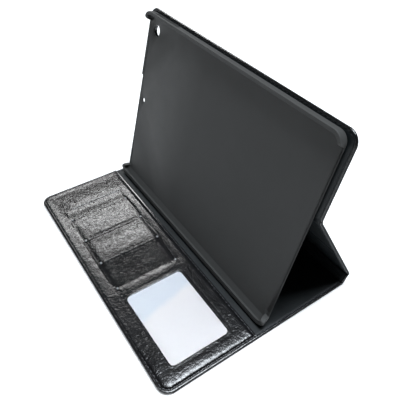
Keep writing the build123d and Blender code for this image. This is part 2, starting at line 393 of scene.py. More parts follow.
# --- materials ---
class Nodes:
    """Short way to write a material's nodes."""

    def __init__(self, name):
        self.material = bpy.data.materials.new(name)
        self.material.use_nodes = True
        self.tree = self.material.node_tree
        self.shader = self.tree.nodes["Principled BSDF"]
        self.place = self.add("ShaderNodeTexCoord").outputs["Object"]

    def add(self, kind, **settings):
        """New node; a setting goes to the input of that name, or else to the node itself."""
        node = self.tree.nodes.new(kind)
        for key, value in settings.items():
            if key in node.inputs:
                node.inputs[key].default_value = value
            else:
                setattr(node, key, value)
        return node

    def link(self, source, target):
        self.tree.links.new(source, target)

    def drive(self, **sources):
        """Links outputs to the shader's inputs."""
        for key, source in sources.items():
            self.link(source, self.shader.inputs[key.replace("_", " ")])

    def set(self, **values):
        for key, value in values.items():
            self.shader.inputs[key.replace("_", " ")].default_value = value

    def noise(self, scale, detail, roughness=0.5, distortion=0.0):
        node = self.add("ShaderNodeTexNoise", Scale=scale, Detail=detail, Roughness=roughness,
                        Distortion=distortion)
        self.link(self.place, node.inputs["Vector"])
        return node.outputs["Fac"]

    def axes(self):
        """The piece's own X, Y and Z."""
        split = self.add("ShaderNodeSeparateXYZ")
        self.link(self.place, split.inputs[0])
        return split.outputs

    def remap(self, value, low, high, to_low, to_high):
        node = self.add("ShaderNodeMapRange")
        for index, number in zip(range(1, 5), (low, high, to_low, to_high)):
            node.inputs[index].default_value = number
        self.link(value, node.inputs[0])
        return node.outputs[0]

    def math(self, operation, first, second):
        node = self.add("ShaderNodeMath", operation=operation)
        for slot, value in zip(node.inputs, (first, second)):
            if isinstance(value, (int, float)):
                slot.default_value = value
            else:
                self.link(value, slot)
        return node.outputs[0]

    def total(self, *terms):
        """Sum of (value, factor) terms."""
        result = None
        for value, factor in terms:
            part = self.math("MULTIPLY", value, factor)
            result = self.math("ADD", result, part) if result else part
        return result

    def ramp(self, value, *stops):
        node = self.add("ShaderNodeValToRGB")
        for element, (position, colour) in zip(node.color_ramp.elements, stops):
            element.position = position
            element.color = (*colour, 1)
        self.link(value, node.inputs[0])
        return node.outputs[0]

    def bump(self, height, distance, under=None):
        node = self.add("ShaderNodeBump", Strength=1.0, Distance=distance)
        self.link(height, node.inputs["Height"])
        if under:
            self.link(under, node.inputs["Normal"])
        return node.outputs["Normal"]


LEATHER_DARK, LEATHER_LIGHT = (0.003, 0.003, 0.0035), (0.006, 0.006, 0.007)
LEATHER_ROUGH = (0.17, 0.25)
CREASE_HEIGHT, GRAIN_HEIGHT = 0.00016, 0.00003
CELL_SCALE = 440.0
SIDE_DULLING = 0.7          # added to the roughness on the covers' short sides
COAT_MOST = 0.64


def leather_height(n):
    """Irregular creased facets, with wrinkles and broad waves over them."""
    warp = n.add("ShaderNodeTexNoise", Scale=150.0, Detail=3.0)
    n.link(n.place, warp.inputs["Vector"])
    shift = n.add("ShaderNodeVectorMath", operation="SCALE", Scale=0.003)
    n.link(warp.outputs["Color"], shift.inputs[0])
    moved = n.add("ShaderNodeVectorMath", operation="ADD")
    n.link(n.place, moved.inputs[0])
    n.link(shift.outputs[0], moved.inputs[1])
    distances = []
    for feature in ("F1", "DISTANCE_TO_EDGE"):
        cells = n.add("ShaderNodeTexVoronoi", feature=feature, Scale=CELL_SCALE)
        n.link(moved.outputs[0], cells.inputs["Vector"])
        distances.append(cells.outputs["Distance"])
    domes = n.remap(distances[0], 0.0, 0.8, 1.0, 0.0)
    creases = n.remap(distances[1], 0.0, 0.16, 0.0, 1.0)
    wrinkle, broad = n.noise(300.0, 2.0, 0.5, 0.9), n.noise(95.0, 3.0, 0.5, 0.8)
    return n.total((creases, 0.22), (domes, 0.25), (wrinkle, 2.6), (broad, 1.6))


def leather_material(name, creasing, near_rough=0.0):
    """Glossy coated leather: creased facets, fine pebble grain and uneven shine. creasing is how
    deep the facets are on the far half and on the near one, near_rough how much duller it ends."""
    n = Nodes(name)
    height, x = leather_height(n), n.axes()["X"]
    at_side = n.remap(n.math("ABSOLUTE", x, 0.0), (HALF_LENGTH - 0.5) * MM,
                      (HALF_LENGTH - 0.2) * MM, 0.0, 1.0)
    duller = n.math("ADD", n.remap(x, 0.02, 0.06, 0.0, near_rough),
                    n.math("MULTIPLY", at_side, SIDE_DULLING))
    rough = n.remap(n.noise(95.0, 3.0, 0.6), 0.3, 0.7, *LEATHER_ROUGH)
    large = n.bump(n.math("MULTIPLY", height, n.remap(x, -0.02, -0.005, *creasing)), CREASE_HEIGHT)
    shine = n.remap(n.noise(430.0, 2.0, 0.6, 0.6), 0.32, 0.68, 0.0, COAT_MOST)
    n.drive(Roughness=n.math("ADD", rough, duller),
            Base_Color=n.ramp(n.noise(140.0, 3.0), (0.35, LEATHER_DARK), (0.7, LEATHER_LIGHT)),
            Normal=n.bump(n.noise(1900.0, 2.0), GRAIN_HEIGHT, under=large),
            Coat_Weight=n.math("MULTIPLY", shine, n.math("SUBTRACT", 1.0, at_side)))
    n.set(Specular_IOR_Level=0.5, Coat_Roughness=0.16)
    return n.material


def mottled(name, mottling, dark, light, rough=None, texture=None, **settings):
    """Material with noise in its colour, and in its roughness and surface where they are given.
    mottling is (scale, detail), rough is (scale, least, most) and texture is a height, then the
    noise's scale, detail and own roughness."""
    n = Nodes(name)
    n.drive(Base_Color=n.ramp(n.noise(*mottling), (0.3, dark), (0.7, light)))
    if rough:
        scale, least, most = rough
        n.drive(Roughness=n.remap(n.noise(scale, 3.0), 0.3, 0.7, least, most))
    if texture:
        height, *pattern = texture
        n.drive(Normal=n.bump(n.noise(*pattern), height))
    n.set(**settings)
    return n.material


def burnished_material():
    """Leather edge rubbed to a shine."""
    return mottled("burnished_edge", (200.0, 2.0), (0.004, 0.004, 0.005), (0.008, 0.008, 0.009),
                   rough=(260.0, 0.08, 0.16), texture=(0.00003, 300.0, 2.0),
                   Specular_IOR_Level=0.9, Coat_Weight=0.6, Coat_Roughness=0.08)


def lining_material():
    """Smooth coated lining with a faint satin unevenness."""
    return mottled("smooth_lining", (60.0, 3.0), (0.0055, 0.008, 0.0095), (0.0085, 0.0115, 0.013),
                   rough=(120.0, 0.44, 0.54), texture=(0.00002, 2400.0, 2.0),
                   Specular_IOR_Level=0.33)


def tray_material():
    """Matt moulded plastic: fine spark-eroded texture, slight mottling."""
    return mottled("tray_plastic", (35.0, 3.0), (0.045, 0.0455, 0.0447), (0.047, 0.0475, 0.0467),
                   rough=(90.0, 0.54, 0.58), texture=(0.00002, 3200.0, 2.0, 0.6),
                   Specular_IOR_Level=0.28)


def thread_material(name, scale, dark, light, **settings):
    """Twisted thread."""
    return mottled(name, (scale, 2.0), dark, light, texture=(0.00006, 5200.0, 2.0), **settings)


def card_material():
    """White card with painted light: a cooler, dimmer painted shade on the far side of a slanted line
    and a warmer, brighter painted light on the near one.
    """
    n = Nodes("white_card")
    place = n.axes()
    slanted = n.math("ADD", place["X"], n.math("MULTIPLY", place["Y"], 0.22))
    slanted = n.math("ADD", slanted, n.math("MULTIPLY", n.noise(60.0, 2.0), 0.006))
    # painted light: 0 gives the far side's cool painted shade, 1 the near side's warm painted light
    shade = n.remap(slanted, 0.0475, 0.0535, 0.0, 1.0)
    n.drive(Base_Color=n.ramp(shade, (0.0, (0.81, 0.825, 0.86)), (1.0, (0.96, 0.905, 0.89))),
            Normal=n.bump(n.noise(1500.0, 2.0), 0.00001))
    n.set(Roughness=0.5)
    return n.material


def film_material():
    """Clear film, faintly wavy."""
    n = Nodes("clear_film")
    n.drive(Roughness=n.remap(n.noise(70.0, 2.0), 0.3, 0.7, 0.05, 0.10),
            Normal=n.bump(n.noise(45.0, 2.0), 0.0002))
    n.set(Base_Color=(0.97, 0.985, 1.0, 1), Transmission_Weight=1.0, IOR=1.3)
    return n.material


def board_material():
    """Grey board inside the covers."""
    return mottled("greyboard", (700.0, 5.0), (0.25, 0.24, 0.22), (0.40, 0.38, 0.35),
                   texture=(0.0001, 1500.0, 3.0), Roughness=0.9)


def adhesive_material():
    """Set adhesive under the tray."""
    return mottled("adhesive", (300.0, 3.0), (0.25, 0.25, 0.24), (0.34, 0.34, 0.32),
                   rough=(500.0, 0.35, 0.5))


leather = leather_material("black_leather", (0.65, 0.65))
pocket_hide = leather_material("pocket_leather", (1.0, 0.75), near_rough=0.035)
leaf_hide = leather_material("slot_leaf_leather", (1.0, 0.42))
lining = lining_material()
thread = thread_material("thread", 900.0, (0.035, 0.037, 0.042), (0.07, 0.073, 0.08),
                         Roughness=0.26, Specular_IOR_Level=0.7)
dull_thread = thread_material("dull_thread", 900.0, (0.008, 0.0085, 0.01), (0.018, 0.019, 0.021),
                              Roughness=0.5, Specular_IOR_Level=0.3)
# The tacks are black thread; their light grey colour is a painted glint standing in for highlights.
tack_thread_painted_glint = thread_material("tack_thread_painted_glint", 2500.0, (0.22, 0.23, 0.24), (0.42, 0.43, 0.45),
                              Roughness=0.35)

# --- covers ---
front_cover = cover_leather("front_cover_leather", 0.0, mid_spine)
spine_cover = cover_leather("spine_leather", mid_spine, mid_lower)
upper_cover = cover_leather("back_cover_leather", mid_lower, cover.length)

# --- tray ---
TRAY_CORNER = 9.0
TRAY_ROUND = 3.5
TRAY_WALL = 1.5
TRAY_LIP = 1.4
LIP_THICKNESS = 0.9
FOOT_LIP = 1.9              # how much wider the lip is along the foot
FOOT_COVE = 4.9             # reach of the cove between the foot's wall and the plate
FOOT_RISE = 3.5             # and its height
FOOT_FLARE = 3.0            # how far the foot's corners spread outwards at the lip
FOOT_BLEND = (40, 30)       # the rim takes the foot's section this far from the middle, over this much
PLATE = 1.2
RIM_FALL = (4.2, 9.6)       # the rim's end rounds down to the plate over this stretch of the short side
BUTTON_WINDOW = (14.0, 52.0)
BUTTON_DEPTHS = (2.6, 7.0)
HOLE_CHAMFER = 0.25

tray_low, tray_high = upper_panel.limits("tray_shell")
tray_half = tray_high[0]
tray_back, tray_front = tray_low[2], tray_high[2]
tray_foot, tray_top = tray_low[1], tray_high[1]
DEPTH = tray_front - tray_back
CAMERA_RADIUS, MICROPHONE_RADIUS = 5.3, 2.0
camera_centre = (-tray_half + 12.5, tray_top - 15.9)
microphone_centre = (-tray_half + 9.4, tray_foot + 89.4)
button_window = [-tray_half + place for place in BUTTON_WINDOW]


def rim_profile(low):
    """Section of the rim as (inset, depth), back to front plate: low = 1 at the foot, 0 at the top."""
    outer = 0.55 + 0.9 * low
    lip_edge = TRAY_WALL + TRAY_LIP + FOOT_LIP * low
    drop = 0.35 * (1 - low)             # the lip's face leans inwards along the top rim only
    under = DEPTH - LIP_THICKNESS - drop
    points = arc((TRAY_ROUND, TRAY_ROUND), TRAY_ROUND, 270, 180, 9)
    points += [(0.0, 4.6), (0.0, 5.6), (0.02, BUTTON_DEPTHS[1]), (0.05, 7.3)]
    points += arc((0.08 + outer, DEPTH - outer), outer, 180, 90, 6)
    points += [(outer + 0.25, DEPTH - 0.1 * drop), (lip_edge - 0.9, DEPTH - 0.85 * drop),
               (lip_edge - 0.55, DEPTH - drop)]
    points += arc((lip_edge - 0.3, DEPTH - drop - 0.32), 0.3, 80, -60, 6)
    points += [(lip_edge - 0.4, under), (TRAY_WALL + 0.7, under - 0.05)]
    points += arc((TRAY_WALL + 0.6, under - 0.65), 0.6, 90, 180, 5)
    points += [(TRAY_WALL, BUTTON_DEPTHS[1] - 0.6), (TRAY_WALL, 5.8), (TRAY_WALL, 5.0)]
    plain = (TRAY_ROUND - TRAY_WALL) * (1 - low)
    run, rise = plain + FOOT_COVE * low, plain + FOOT_RISE * low
    power = 1.0 - 0.42 * low            # towards the foot the cove is nearly a straight chamfer
    for turn in np.radians(np.linspace(0, 90, 8)):
        across, up = 1 - math.cos(turn), 1 - math.sin(turn)
        points.append((TRAY_WALL + run * across ** power, PLATE + rise * up ** power))
    return np.array(points)


def rim_height(place):
    """The rim's height where it rounds down to the plate, this far along the short side."""
    fall = min(max((place - RIM_FALL[0]) / (RIM_FALL[1] - RIM_FALL[0]), 0.0), 1.0)
    return math.sqrt(1 - fall ** 2.6)


def corner(x, y, start):
    """Round corner of the outline, its outward way turning on from this many degrees."""
    ways = [(math.cos(t), math.sin(t)) for t in np.radians(np.linspace(start, start + 90, 25))[:-1]]
    return [(x, y, out_x, out_y, rim_height(TRAY_CORNER * (1 - abs(out_y)))) for out_x, out_y in ways]


def short_side(x, y, outward):
    """Short side, low except where the rim's ends reach it."""
    way = math.copysign(1.0, y[1] - y[0])
    near = [0.0, 0.15, 0.3, 0.45, 0.55, RIM_FALL[1] - TRAY_CORNER]
    start = [(y[0] + way * reach, rim_height(TRAY_CORNER + reach)) for reach in near]
    end = [(y[1] - way * reach, rim_height(TRAY_CORNER + reach)) for reach in near[:0:-1]]
    low = [(place, 0.0) for place in np.linspace(start[-1][0], end[0][0], 30)[1:-1]]
    return [(x, place, outward, 0.0, h) for place, h in start + low + end]


def rim_outline():
    """Points around the tray's outline: (corner-free x, y, outward x, outward y, rim height)."""
    flat_x, flat_y = tray_half - TRAY_CORNER, (tray_foot + TRAY_CORNER, tray_top - TRAY_CORNER)
    foot = np.linspace(-flat_x, flat_x, 61)
    top = lines(-flat_x, flat_x, 4.0, [(place, 1.5, 0.25) for place in button_window])[::-1]
    rows = [(x, flat_y[0], 0.0, -1.0, 1.0) for x in foot[:-1]]
    rows += corner(flat_x, flat_y[0], -90) + short_side(flat_x, flat_y, 1.0)
    rows += corner(flat_x, flat_y[1], 0)
    rows += [(x, flat_y[1], 0.0, 1.0, 1.0) for x in top[:-1]]
    rows += corner(-flat_x, flat_y[1], 90) + short_side(-flat_x, flat_y[::-1], -1.0)
    return np.array(rows + corner(-flat_x, flat_y[0], 180))


def rim_points(outline):
    """The rim's section swept around the outline, as a grid of (place round the rim, profile row)."""
    line_x, line_y, out_x, out_y, height = (column[:, None] for column in outline.T)
    below = (tray_foot + tray_top) / 2 - line_y
    low = smooth((below - FOOT_BLEND[0]) / FOOT_BLEND[1])
    inset, depth = (top * (1 - low) + foot * low
                    for top, foot in zip(rim_profile(0.0).T, rim_profile(1.0).T))
    raised = depth > PLATE
    edge = TRAY_ROUND - math.sqrt(TRAY_ROUND ** 2 - (TRAY_ROUND - PLATE) ** 2)
    low_inset = np.where(raised, np.maximum(inset, edge), inset)
    reach = TRAY_CORNER - inset * height - low_inset * (1 - height)
    depths = np.where(raised, PLATE + (depth - PLATE) * height, depth)
    x, y = line_x + out_x * reach, line_y + out_y * reach
    flare = FOOT_FLARE * low * np.clip(depths / DEPTH, 0, 1) ** 2 * height
    near_end = smooth((np.abs(line_x) - tray_half + 3 * TRAY_CORNER) / TRAY_CORNER)
    return np.stack([x + np.sign(x) * flare * near_end * np.abs(out_x), y, depths], -1)


def rim_faces(outline):
    """Faces of the rim, with the button window cut through its wall and closed around."""
    inset, depth = rim_profile(0.0).T
    columns, rows = len(outline), len(depth)
    index = np.arange(columns * rows).reshape(columns, rows)
    left, right = wider(button_window, 0.01)
    in_window = (outline[:, 3] > 0.99) & (outline[:, 0] > left) & (outline[:, 0] < right)
    pairs = [(c, (c + 1) % columns) for c in range(columns)]
    open_pairs = [pair for pair in pairs if in_window[pair[0]] and in_window[pair[1]]]
    shallow, deep = BUTTON_DEPTHS[0] - 0.35, BUTTON_DEPTHS[1] + 0.01
    outside = [r for r in range(rows // 2) if depth[r] >= shallow and depth[r + 1] <= deep]
    inside = [r for r in range(rows // 2, rows - 1)
              if depth[r] <= deep and depth[r + 1] >= shallow and inset[r] < TRAY_WALL + 0.3]
    faces = [(index[c, r], index[after, r], index[after, r + 1], index[c, r + 1])
             for c, after in pairs for r in range(rows - 1)
             if not ((c, after) in open_pairs and r in outside + inside)]
    out_from, out_to, in_from, in_to = outside[0], outside[-1] + 1, inside[0], inside[-1] + 1
    for c, after in open_pairs:
        faces.append((index[c, out_to], index[after, out_to], index[after, in_from], index[c, in_from]))
        faces.append((index[c, out_from], index[c, in_to], index[after, in_to], index[after, out_from]))
    for c in (open_pairs[0][0], open_pairs[-1][1]):
        faces.append((*index[c, out_from:out_to + 1], *index[c, in_from:in_to + 1]))
    return faces


def plate_hole(model, centre, radius):
    """Chamfered wall of a hole through the plate; gives its back and front edges."""
    rings = ((radius + HOLE_CHAMFER, 0.0), (radius, HOLE_CHAMFER),
             (radius, PLATE - HOLE_CHAMFER), (radius + HOLE_CHAMFER, PLATE))
    loops = [[model.verts.new(p) for p in circle(centre, *ring)] for ring in rings]
    for lower, upper in zip(loops, loops[1:]):
        for i in range(len(lower)):
            j = (i + 1) % len(lower)
            model.faces.new((lower[i], upper[i], upper[j], lower[j]))
    return loops[0], loops[-1]


def fill_plate(model, loops):
    """Flat face between the rim and the holes."""
    edges = []
    for loop in loops:
        for pair in zip(loop, loop[1:] + loop[:1]):
            edges.append(model.edges.get(pair) or model.edges.new(pair))
    bmesh.ops.triangle_fill(model, edges=edges, use_beauty=True)


def tray_shell():
    """Rim swept around the outline, flat plate with its holes, and the slot in the top rim."""
    outline = rim_outline()
    points = rim_points(outline)
    rows = points.shape[1]
    model = bmesh.new()
    verts = [model.verts.new(p) for p in points.reshape(-1, 3)]
    for face in rim_faces(outline):
        model.faces.new([verts[i] for i in face])
    holes = [plate_hole(model, camera_centre, CAMERA_RADIUS),
             plate_hole(model, microphone_centre, MICROPHONE_RADIUS)]
    fill_plate(model, [verts[::rows]] + [back for back, _ in holes])
    fill_plate(model, [verts[rows - 1::rows]] + [front for _, front in holes])
    bmesh.ops.remove_doubles(model, verts=model.verts, dist=0.002)
    bmesh.ops.recalc_face_normals(model, faces=model.faces)
    for vertex in model.verts:
        x, y, z = vertex.co
        vertex.co = Vector(upper_panel.world(np.array([x, y, z + tray_back])) * MM)
    name = "tray_shell_moulding"
    return linked_object(name, finished_mesh(model, name), tray_material())


def cut_camera_hole(piece):
    """Cuts the camera hole through a cover piece, square to the upper flap."""
    bpy.ops.mesh.primitive_cylinder_add(vertices=48, radius=CAMERA_RADIUS * MM, depth=20 * MM)
    cutter = bpy.context.object
    cutter.matrix_world = Matrix(upper_panel.turn.tolist()).transposed().to_4x4()
    cutter.location = Vector(upper_panel.world(np.array([*camera_centre, 0.0])) * MM)
    modifier = piece.modifiers.new("hole", "BOOLEAN")
    modifier.operation, modifier.solver, modifier.object = "DIFFERENCE", "EXACT", cutter
    bpy.context.view_layer.update()
    graph = bpy.context.evaluated_depsgraph_get()
    cut = bpy.data.meshes.new_from_object(piece.evaluated_get(graph))
    piece.modifiers.clear()
    piece.data = cut
    bpy.data.objects.remove(cutter)


def hole_edging():
    """Dark turned edge that lines the camera hole through the upper flap."""
    section = ((0.5, -0.06), (0.1, -0.1), (-0.14, 0.1), (-0.2, 0.6), (-0.2, 2.4),
               (-0.1, COVER + 0.35), (0.3, COVER + 0.3), (0.3, 0.3))
    rings = [circle(camera_centre, CAMERA_RADIUS + out, depth) for out, depth in section]
    points = upper_panel.world(np.concatenate(rings))
    return new_object("camera_hole_edging", points, ring_faces(len(rings), len(rings[0]), True), leather)


tray = tray_shell()
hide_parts("tray_shell")
dress(tray, "tray_and_upper_flap")

cut_camera_hole(upper_cover)
dress(hole_edging(), "tray_and_upper_flap")
stand_in(front_cover, 0, "black_leather", "front_outer_skin", "front_hinge_strip", "spine_outer_skin")
stand_in(spine_cover, 1, "black_leather", "back_hinge_strip", "lower_outer_skin")
stand_in(upper_cover, 2, "black_leather", "stand_fold_strip", "upper_outer_skin")

# --- linings ---
POCKET_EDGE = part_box("pocket_panel")[1][1] / MM
LINING_CREASES = (3.0, 5.6)         # soft creases this far behind the pocket's edge


def lining_sheet(name, s_from, s_to):
    """Thin lining sheet on the inner face of the covers, its edges inside the turned leather."""
    x, s = cover.grid(s_from, s_to, LINING_INSET)
    distance = np.minimum(cover.edge_distance(x, s) - LINING_INSET, 3.0)
    thick = cover.thickness(s)
    rise = LINING_RAISE * quarter_round(distance / 0.3)
    dip = (GROOVE_DEPTH + 0.04) * ridge(distance, STITCH_INSET - LINING_INSET, GROOVE_WIDTH)
    wave = 0.05 * ripple(x, s, 34.0, 8.4) * smooth((distance - 1.5) / 1.5)
    creases = sum(ridge(s - POCKET_EDGE + front_y, place, 0.45) for place in LINING_CREASES)
    top = thick + rise - dip + np.minimum(wave, 0) - 0.13 * creases
    bottom = thick - GROOVE_DEPTH - 0.12
    piece = slab_object(name, cover.world(x, s, bottom), cover.world(x, s, top), lining)
    return piece


front_lining = lining_sheet("front_lining_sheet", 0.0, mid_spine)
spine_lining = lining_sheet("spine_lining_sheet", mid_spine, mid_lower)
upper_lining = lining_sheet("upper_lining_sheet", mid_lower, cover.length)
cut_camera_hole(upper_lining)
stand_in(front_lining, 0, "smooth_lining", "front_lining", "spine_lining")
stand_in(spine_lining, 1, "smooth_lining", "lower_lining")
stand_in(upper_lining, 2, "smooth_lining", "upper_lining")

# --- pocket panel ---
POCKET_BASE, POCKET_TOP = (place[2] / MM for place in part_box("pocket_panel"))
POCKET_SHEET = 0.7          # leather at the stitched margin
CROWN = (2.8, 10.5)         # at the near end padding rises from here behind a free edge, over this far
FLAT_CROWN = (1.3, 2.2)     # the same along the rest of the panel, where it is flatter
EDGE_CROWN = (2.2, 3.6)     # the same behind the hinge-side edge
EDGE_STITCH_INSET = 1.3
SLOT_MOUTHS = (-78.4, -45.4, -11.7, 21.7)
RECESS_X, RECESS_Y = (-92.0, 21.7), (-78.0, -16.6)
PAN = 3.85                  # floor of the card recess
WINDOW_X, WINDOW_Y, WINDOW_CORNER = (35.6, 110.2), (-75.1, -21.4), 4.0
WINDOW_FLOOR = 3.9
LEAF = 0.30                 # one leaf of the card slots
STACK_END = 29.0


def rounded_box_distance(x, y, x_limits, y_limits, radius):
    """Distance outside a rounded rectangle, negative inside it."""
    across = np.abs(x - sum(x_limits) / 2) - (x_limits[1] - x_limits[0]) / 2 + radius
    along = np.abs(y - sum(y_limits) / 2) - (y_limits[1] - y_limits[0]) / 2 + radius
    outside = np.hypot(np.maximum(across, 0), np.maximum(along, 0))
    return outside + np.minimum(np.maximum(across, along), 0) - radius


def crown(distance, start, run):
    """Rise of the padding behind a stitched margin, steep at first."""
    way = np.clip((distance - start) / run, 0, 1)
    return np.sqrt(np.clip(1 - (1 - way) ** 2.4, 0, 1))


def padding(x, free, edge):
    """0 at the stitched margins, 1 on top; fullest at the near end."""
    full = smooth((x - 72) / 40)
    gentle = 0.5 * crown(free, *FLAT_CROWN) + 0.5 * smooth((free - 2) / 30)
    return (full * crown(free, *CROWN) + (1 - full) * gentle) * crown(edge, *EDGE_CROWN)


def stitch_pull(x, y, free, edge):
    """How the rows of stitches gather and press the leather."""
    way_round = np.where(HALF_LENGTH - np.abs(x) < y - front_y, y, x)
    gather = np.cos(2 * np.pi * way_round / STITCH_PITCH) * ridge(free, 3.9, 1.1)
    pull = 0.10 * gather * (0.6 + 0.4 * ripple(x, y, 11.0, 5.5))
    pull += 0.13 * ridge(free, 1.35, 0.45) - groove(free)
    return pull - 0.22 * ridge(edge, EDGE_STITCH_INSET, 0.35) + 0.10 * ridge(edge, 0.45, 0.3)


def slack(x, y, outer):
    """Slack of the leather over the padding: broad waves, smaller ones and fine puckers."""
    broad = (0.07 + 0.09 * smooth((x + 90) / 20)) * ripple(x, y, 30.0, 1.7)
    small = 0.09 * ripple(x * 1.4, y, 11.0, 4.2)
    fine = 0.05 * ripple(x, y * 1.3, 6.0, 8.8) * smooth((30 - x) / 30)
    return smooth((outer - 4) / 5) * (broad + small + fine - 0.12)


def recess_dip(x, y):
    """How far the leather sinks around the card recess: beside it, at its far end and its mouth."""
    from_sides = np.minimum(np.abs(y - RECESS_Y[0] + 1.2), np.abs(y - RECESS_Y[1] - 1.2))
    along = within(x, (RECESS_X[0] - 2, RECESS_X[1] + 9), 12)
    dip = (0.2 + 0.3 * smooth((x + 80) / 70)) * along * ridge(from_sides, 0, 3.0)
    past_end = np.clip(RECESS_X[0] - x, 0, None)
    far_end = within(y, wider(RECESS_Y, 3), 6) * smooth(1 - past_end / 8)
    dip += 0.1 * far_end * (x < RECESS_X[0] + 1)
    past_mouth = np.clip(x - RECESS_X[1], 0, None)
    lip = within(y, RECESS_Y, 6) * ridge(past_mouth, 0, 3.6) * (x > RECESS_X[1] - 1)
    return dip + lip * (0.42 - 0.16 * ripple(x, y * 1.5, 4.5, 9.3))


def recess_depth(x, y):
    """0 on the panel, 1 on the floor of the card recess."""
    soft = 3.6 + 3.6 * smooth((x + 85) / 80)
    far = smooth((x - RECESS_X[0] + 0.1) / 0.4)
    near = smooth((RECESS_X[1] + 0.12 - x) / 0.3)
    return within(y, wider(RECESS_Y, 0.5 * soft), soft) * far * near


def recess_floor(x):
    """Floor of the card recess: highest at its far edge, then just under the leaves."""
    past_edge, past_mouth = x - RECESS_X[0], x - SLOT_MOUTHS[0]
    strip = PAN + 0.48 * smooth(1 - (past_edge - 5) / 8.5)
    return np.where(past_mouth < 0.5, strip, PAN - 0.5 * smooth((past_mouth - 1) / 4))


def pocket_height(x, y):
    """Top of the pocket panel, from its padding to its pressed and rolled details."""
    free, edge = cover.edge_distance(x, y - front_y), POCKET_EDGE - y
    outer = np.minimum(free, edge)
    rise = POCKET_TOP - POCKET_BASE - POCKET_SHEET
    height = POCKET_BASE + POCKET_SHEET + rise * padding(x, free, edge)
    height += stitch_pull(x, y, free, edge) + slack(x, y, outer) - recess_dip(x, y)
    window = rounded_box_distance(x, y, WINDOW_X, WINDOW_Y, WINDOW_CORNER)
    height -= 0.34 * np.clip(1 - window / 1.3, 0, 1) ** 2 * (window > -0.5)
    height -= 0.14 * ridge(window, 3.0, 1.1)
    height += (WINDOW_FLOOR - height) * smooth((0.08 - window) / 0.22)
    height += (recess_floor(x) - height) * recess_depth(x, y)
    return POCKET_BASE + (height - POCKET_BASE) * quarter_round(outer / 0.55)


def pocket_panel():
    """Padded leather panel with its window opening and its recess for the card slots."""
    window_sides = [(place, 3.4, 0.2) for place in wider(WINDOW_X, -1.8)]
    fine_x = [(RECESS_X[0], 1.5, 0.18), (RECESS_X[1], 1.0, 0.12), (RECESS_X[1] + 4.6, 3.4, 0.6)]
    fine_y = [(place, 4.0, 0.4) for place in RECESS_Y]
    fine_y += [(place, 3.4, 0.2) for place in wider(WINDOW_Y, -1.8)]
    x_lines = edged_lines(-HALF_LENGTH, HALF_LENGTH, 1.0, fine=fine_x + window_sides)
    y_lines = edged_lines(front_y, POCKET_EDGE, 1.0, fine=fine_y)
    y = np.repeat(y_lines[:, None], len(x_lines), 1)
    x = x_lines[None, :] / HALF_LENGTH * cover.half_width(y - front_y)
    top = np.stack([x, y, pocket_height(x, y)], -1)
    bottom = np.stack([x, y, np.full(x.shape, POCKET_BASE + 0.02)], -1)
    return slab_object("pocket_leather", bottom, top, pocket_hide)


def pocket_edge_bead():
    """Flat burnished edge along the pocket's hinge side."""
    x = np.linspace(-HALF_LENGTH + 1.5, HALF_LENGTH - 1.5, 240)[None, :]
    turn = np.linspace(0, math.pi, 11)[:, None]
    y = POCKET_EDGE - 0.48 - 0.46 * np.cos(turn)
    level = POCKET_BASE + POCKET_SHEET + 0.02 + 0.05 * ripple(x, 0, 23.0, 3.3)
    x, y, top, bottom = np.broadcast_arrays(x, y, level + 0.22 * np.sin(turn) ** 0.22, level - 0.45)
    return slab_object("pocket_edge_bead", np.stack([x, y, bottom], -1), np.stack([x, y, top], -1),
                       burnished_material())


pocket = pocket_panel()
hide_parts("pocket_panel", "pocket_foam")
dress(pocket, "front_cover")
dress(pocket_edge_bead(), "front_cover")

# --- card slots ---
# For each leaf: how far its mouth bows out, the mouth's lift and how far that reaches, how far it
# tucks under the next one, and how much higher it lies.
LEAF_BOWS = (-0.5, 1.0, 0.5)
LEAF_LIFTS = ((0.08, 3.0), (0.34, 6.5), (0.22, 8.0))
LEAF_TUCKS = (0.34, 0.12, 0.1)
LEAF_RAISES = (0.0, 0.0, 0.38)
SLANT_RUN = 36.0            # the stack slants down over this much of the near end


def leaf_level(index, x):
    """Top of a leaf; the stack lies level, then slants down towards the near end."""
    slant = np.clip((x - SLOT_MOUTHS[2] - 1) / SLANT_RUN, 0, 1)
    raised = LEAF_RAISES[index]
    curl = 0.5 * smooth((x - SLOT_MOUTHS[1] - 8) / 27) * (index == 1)
    return PAN + (index + 1) * (LEAF - 0.20 * slant) + raised + curl - (0.55 + raised) * slant


def leaf_top(index, x, y, reach, bulge):
    """Height of a leaf's upper face: its lifted, turned mouth, its waves, seams and tuck."""
    mouth_lift, lift_run = LEAF_LIFTS[index]
    lift = mouth_lift * bulge * np.exp(-reach / lift_run) * (1 + 0.4 * ripple(y, 0, 9.0, 6.0 + index))
    turned = 0.05 * ridge(reach, 1.5, 0.7) - 0.06 * ridge(reach, 3.0, 0.6)
    waves = 0.05 * ripple(x, y, 7.0, 11.0 + index) + 0.12 * ripple(x, y, 18.0, 21.0 + index)
    calm = smooth(reach / 5) * smooth((STACK_END - x) / 10)
    to_side = np.minimum(y - RECESS_Y[0], RECESS_Y[1] - y)
    seam = (0.25 + 0.35 * smooth((x + 80) / 70)) * ridge(np.clip(to_side + 0.5, 0, None), 0, 2.8)
    tuck = LEAF_TUCKS[index] * smooth(1 - (SLOT_MOUTHS[index + 1] - x) / 3.2) * bulge
    return leaf_level(index, x) + lift + turned + waves * calm - seam - tuck


